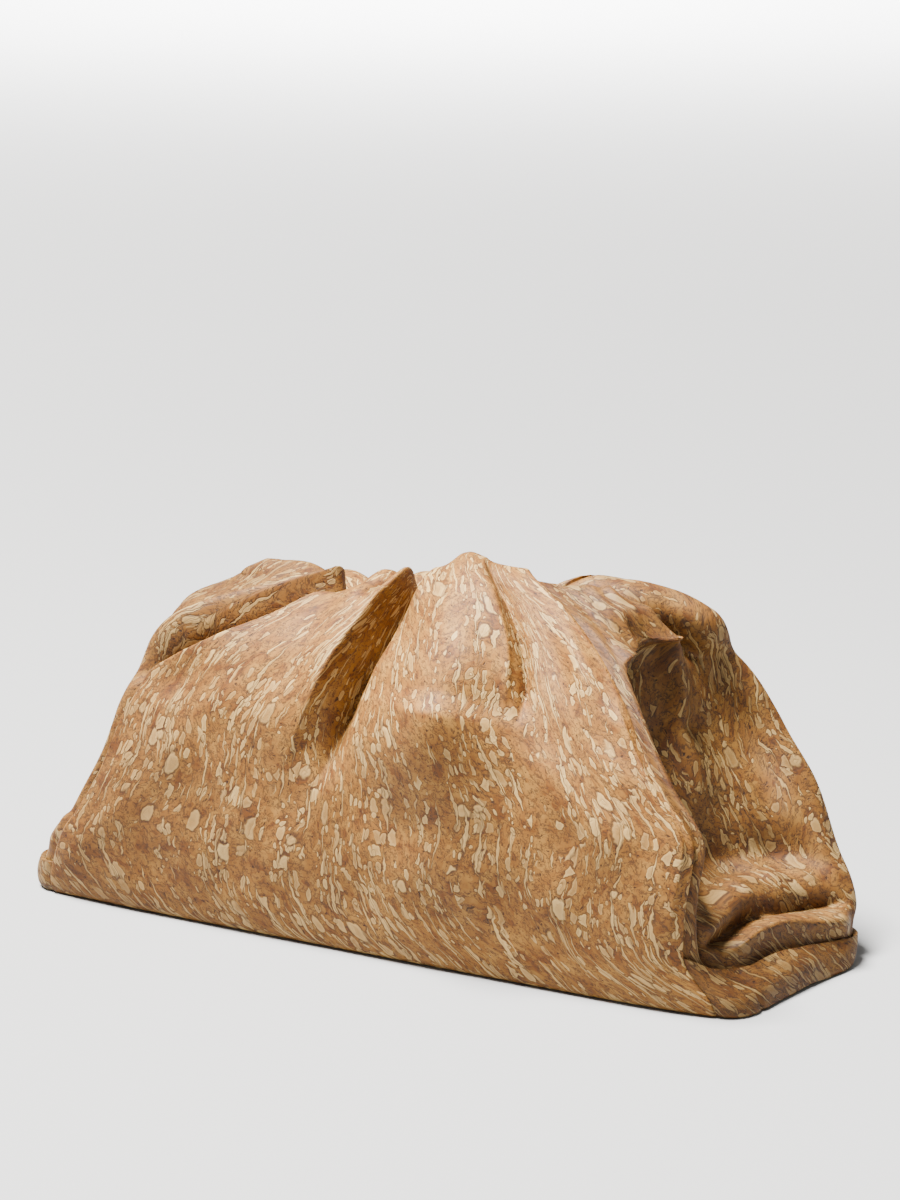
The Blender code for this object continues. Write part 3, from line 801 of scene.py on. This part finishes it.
def floor_material(name, near, far):
    """Matt floor with a faint mottle, paler far from the bag, where less light falls on it."""
    shade = Shade(name)
    place = shade.add("ShaderNodeTexCoord").link("Object")
    away = shade.add("ShaderNodeVectorMath", {"operation": "LENGTH"}, {0: place}).number("Value")
    mottle = shade.noise(place, 1.2, 2.0)
    tone = shade.mix(away.step(0.6, 5.0) + mottle * 0.02, opaque(near), opaque(far))
    return shade.shine(Base_Color=tone, Roughness=0.95, Specular_IOR_Level=0.1)


class POUCH_OT_cloth(bpy.types.Operator):
    """Builds the cloth panels of the bag"""
    bl_idname = "pouch.cloth"
    bl_label = "Cloth panels"

    def execute(self, context):
        sizes = context.scene.pouch_sizes
        skin = Skin(sizes)
        finish = context.scene.pouch_finish
        wall = cork_material("cork_cloth", finish)
        # The gussets and bands are darker: partly their own brown, partly painted shade
        end = cork_material("end_cork_cloth", finish, finish.end_tone)
        backing = backing_material("cloth_backing", finish)
        for panel in PANELS:
            outside = wall if panel.node.endswith("_panel") else end
            self.add_panel(skin, sizes, panel, [outside, backing])
        return {"FINISHED"}

    def add_panel(self, skin, sizes, panel, materials):
        """One panel between its seams, as a closed sheet that replaces its CAD node. The end
        cloths reach behind their neighbours, and the others are drawn in at their edges."""
        gusset = panel.low_up is None
        share = np.linspace(0, 1, panel.cells + 1)[None, :]
        rise = np.linspace(0, 1, panel.rows + 1)[:, None]
        edge = np.interp(panel.from_at + share, *zip(*BAND_EDGE))
        low = edge - BEHIND_BAND if gusset else 0.0 * share
        high = edge if panel.high_up is None else 1 + 0.0 * share
        up = low + (high - low) * rise
        start = skin.round_way(np.full_like(up, panel.from_at), up)[0]
        middle = skin.round_way(np.full_like(up, panel.from_at + 0.5), up)[0]
        width = (middle - start) * 2
        inset = (-sizes.tuck if gusset else sizes.seam / 2) / width
        at = panel.from_at + inset + (1 - 2 * inset) * share
        away = np.minimum(share, 1 - share) * width
        if gusset:
            away = np.minimum(away, (up - low) * np.ptp(skin.base(at, up)[..., 2]))
            depth = (sizes.wall + sizes.gap) * (1 - smooth((away - sizes.tuck) / sizes.tuck_rise))
        else:
            depth = sizes.seam_dip * np.exp(-(away / sizes.seam_reach) ** 2)
        rolled = panel.high_up is not None
        outer = skin.surface(at, up, depth, rolled)
        coarse = (slice(None, None, COARSE),) * 2
        inner = skin.surface(at[coarse], up[coarse], depth[coarse] + sizes.wall, rolled)
        flat_map = cloth_map(outer, panel)
        piece = make_sheet(panel.name, outer, inner, flat_map, materials)
        cut = lengths(outer, 1)[:, -1].max(), lengths(outer, 0)[-1].max()
        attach(piece, "root")
        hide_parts(panel.node)
        min(sheet_area(outer), float(cut[0] * cut[1]))


def sheet_area(points):
    """The area of a grid of points, from the diagonals of its cells."""
    first = points[1:, 1:] - points[:-1, :-1]
    second = points[1:, :-1] - points[:-1, 1:]
    return float(np.linalg.norm(np.cross(first, second), axis=-1).sum() / 2)


# The bottom from its rim inwards: shares of the way out from its middle, and heights of its under
# side as shares of the wall
BASE_STEPS = (1.0, 0.995, 0.98, 0.6, 0.25)
BASE_RISES = (0.25, 0.06, 0.0, 0.0, 0.0)
BASE_CELLS = 120
BASE_INSET = 1.3


class POUCH_OT_base(bpy.types.Operator):
    """Builds the flat bottom"""
    bl_idname = "pouch.base"
    bl_label = "Flat bottom"

    def execute(self, context):
        sizes = context.scene.pouch_sizes
        skin = Skin(sizes)
        at = np.arange(4 * BASE_CELLS) / BASE_CELLS
        outline = skin.surface(at, np.zeros_like(at), sizes.wall * BASE_INSET)[:, :2]
        middle = np.array([0.0, outline[:, 1].mean()])
        rings = middle + (outline - middle) * np.array(BASE_STEPS)[:, None, None]
        low = sizes.wall * np.array(BASE_RISES)
        under = np.concatenate([rings, np.repeat(low[:, None, None], len(at), 1)], -1)
        over = under[::-1].copy()
        over[..., 2] = sizes.wall
        profile = np.concatenate([over, under])
        count = len(at)
        index = np.arange(len(profile) * count).reshape(len(profile), count)
        nxt = np.roll(index, -1, axis=1)
        faces = np.stack([index[:-1], index[1:], nxt[1:], nxt[:-1]], -1).reshape(-1, 4).tolist()
        faces += [index[0].tolist(), index[-1, ::-1].tolist()]
        mesh = bpy.data.meshes.new("bottom_cloth")
        mesh.from_pydata(profile.reshape(-1, 3), [], faces)
        finish = context.scene.pouch_finish
        # The bottom has the ends' tone: partly its own darker brown, partly painted shade
        mesh.materials.append(cork_material("bottom_cork", finish, finish.end_tone))
        corners = np.empty(len(mesh.loops), np.int32)
        mesh.loops.foreach_get("vertex_index", corners)
        layer = mesh.uv_layers.new(name="cloth")
        flat = profile.reshape(-1, 3)[:, :2]
        layer.uv.foreach_set("vector", flat[corners].astype(np.float32).ravel())
        mesh.shade_smooth()
        mesh.set_sharp_from_angle(angle=np.radians(50))
        piece = bpy.data.objects.new("bottom_cloth", mesh)
        context.scene.collection.objects.link(piece)
        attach(piece, "root")
        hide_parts("base_panel")
        shift = np.roll(outline, -1, axis=0)
        area = abs((outline[:, 0] * shift[:, 1] - outline[:, 1] * shift[:, 0]).sum()) / 2
        return {"FINISHED"}


class POUCH_OT_frame(bpy.types.Operator):
    """Finishes the bar that holds the mouth"""
    bl_idname = "pouch.frame"
    bl_label = "Mouth frame"

    def execute(self, context):
        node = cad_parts["mouth_frame"]
        node.data.materials.clear()
        node.data.materials.append(steel_material("brushed_steel"))
        return {"FINISHED"}


def aim(made, back):
    """Turns a camera or light so that it looks against a direction."""
    made.rotation_mode = "QUATERNION"
    made.rotation_quaternion = (-Vector(back)).to_track_quat("-Z", "Y")


def add_light(name, place, target, size, power, colour, spread=180):
    """A square area light that faces a point, with its spread in degrees."""
    light = bpy.data.lights.new(name, "AREA")
    light.shape = "SQUARE"
    light.size = size
    light.energy = power
    light.color = colour
    light.spread = np.radians(spread)
    made = bpy.data.objects.new(name, light)
    made.location = place
    aim(made, Vector(place) - Vector(target))
    bpy.context.scene.collection.objects.link(made)


# The camera: its place, its turn and tilt in degrees, and its lens and sensor in millimetres
CAMERA_PLACE = (0.86447, -1.49586, 0.59285)
CAMERA_TURN = 29.64
CAMERA_TILT = 13.97
CAMERA_LENS = 110.4
CAMERA_SENSOR = 36.0
FLOOR_REACH = 14.0


class POUCH_OT_stage(bpy.types.Operator):
    """Builds the floor, lights and camera"""
    bl_idname = "pouch.stage"
    bl_label = "Stage"

    def execute(self, context):
        stage = context.scene.pouch_stage
        mesh = bpy.data.meshes.new("floor")
        side = FLOOR_REACH
        corners = [(-side, -side, 0), (side, -side, 0), (side, side, 0), (-side, side, 0)]
        mesh.from_pydata(corners, [], [(0, 1, 2, 3)])
        mesh.materials.append(floor_material("floor", stage.floor, stage.far_floor))
        floor = bpy.data.objects.new("floor", mesh)
        context.scene.collection.objects.link(floor)

        world = bpy.data.worlds.new("studio")
        world.use_nodes = True
        ground = world.node_tree.nodes["Background"]
        ground.inputs["Color"].default_value = (1.0, 1.0, 1.0, 1.0)
        ground.inputs["Strength"].default_value = stage.sky
        context.scene.world = world
        add_light("key", (-0.72, -0.80, 3.2), (0, 0, 0.08), 1.2, stage.key_power, (1, 0.985, 0.96))
        add_light("fill", (2.2, -0.6, 1.5), (0, 0, 0.08), 1.6, stage.fill_power, (1, 1, 1))
        add_light("back", (-2.9, 5.2, 3.4), (-2.9, 5.2, 0), 2.4, stage.back_power, (1, 1, 1), 95)

        camera = bpy.data.cameras.new("camera")
        camera.sensor_width = CAMERA_SENSOR
        camera.lens = CAMERA_LENS
        made = bpy.data.objects.new("camera", camera)
        turn, tilt = np.radians(CAMERA_TURN), np.radians(CAMERA_TILT)
        back = (np.sin(turn) * np.cos(tilt), -np.cos(turn) * np.cos(tilt), np.sin(tilt))
        made.location = CAMERA_PLACE
        aim(made, back)
        context.scene.collection.objects.link(made)
        context.scene.camera = made
        return {"FINISHED"}


class POUCH_PT_panel(bpy.types.Panel):
    """Lists the pouch's operators and sizes"""
    bl_idname = "POUCH_PT_panel"
    bl_label = "Cork pouch"
    bl_space_type = "VIEW_3D"
    bl_region_type = "UI"
    bl_category = "Pouch"

    def draw(self, context):
        layout = self.layout
        for operator in OPERATORS:
            layout.operator(operator.bl_idname)
        for group in (context.scene.pouch_sizes, context.scene.pouch_finish,
                      context.scene.pouch_stage):
            column = layout.column(align=True)
            for name in group.__annotations__:
                column.prop(group, name)


OPERATORS = (POUCH_OT_cloth, POUCH_OT_base, POUCH_OT_frame, POUCH_OT_stage)
GROUPS = {"pouch_sizes": PouchSizes, "pouch_finish": CorkFinish, "pouch_stage": StageSettings}


def register():
    for made in (*GROUPS.values(), *OPERATORS, POUCH_PT_panel):
        bpy.utils.register_class(made)
    for name, group in GROUPS.items():
        setattr(bpy.types.Scene, name, bpy.props.PointerProperty(type=group))


def unregister():
    for name in GROUPS:
        delattr(bpy.types.Scene, name)
    for made in (POUCH_PT_panel, *OPERATORS, *GROUPS.values()):
        bpy.utils.unregister_class(made)


def main():
    register()
    bpy.ops.pouch.cloth()
    bpy.ops.pouch.base()
    bpy.ops.pouch.frame()
    bpy.ops.pouch.stage()


if __name__ == "__main__":
    main()
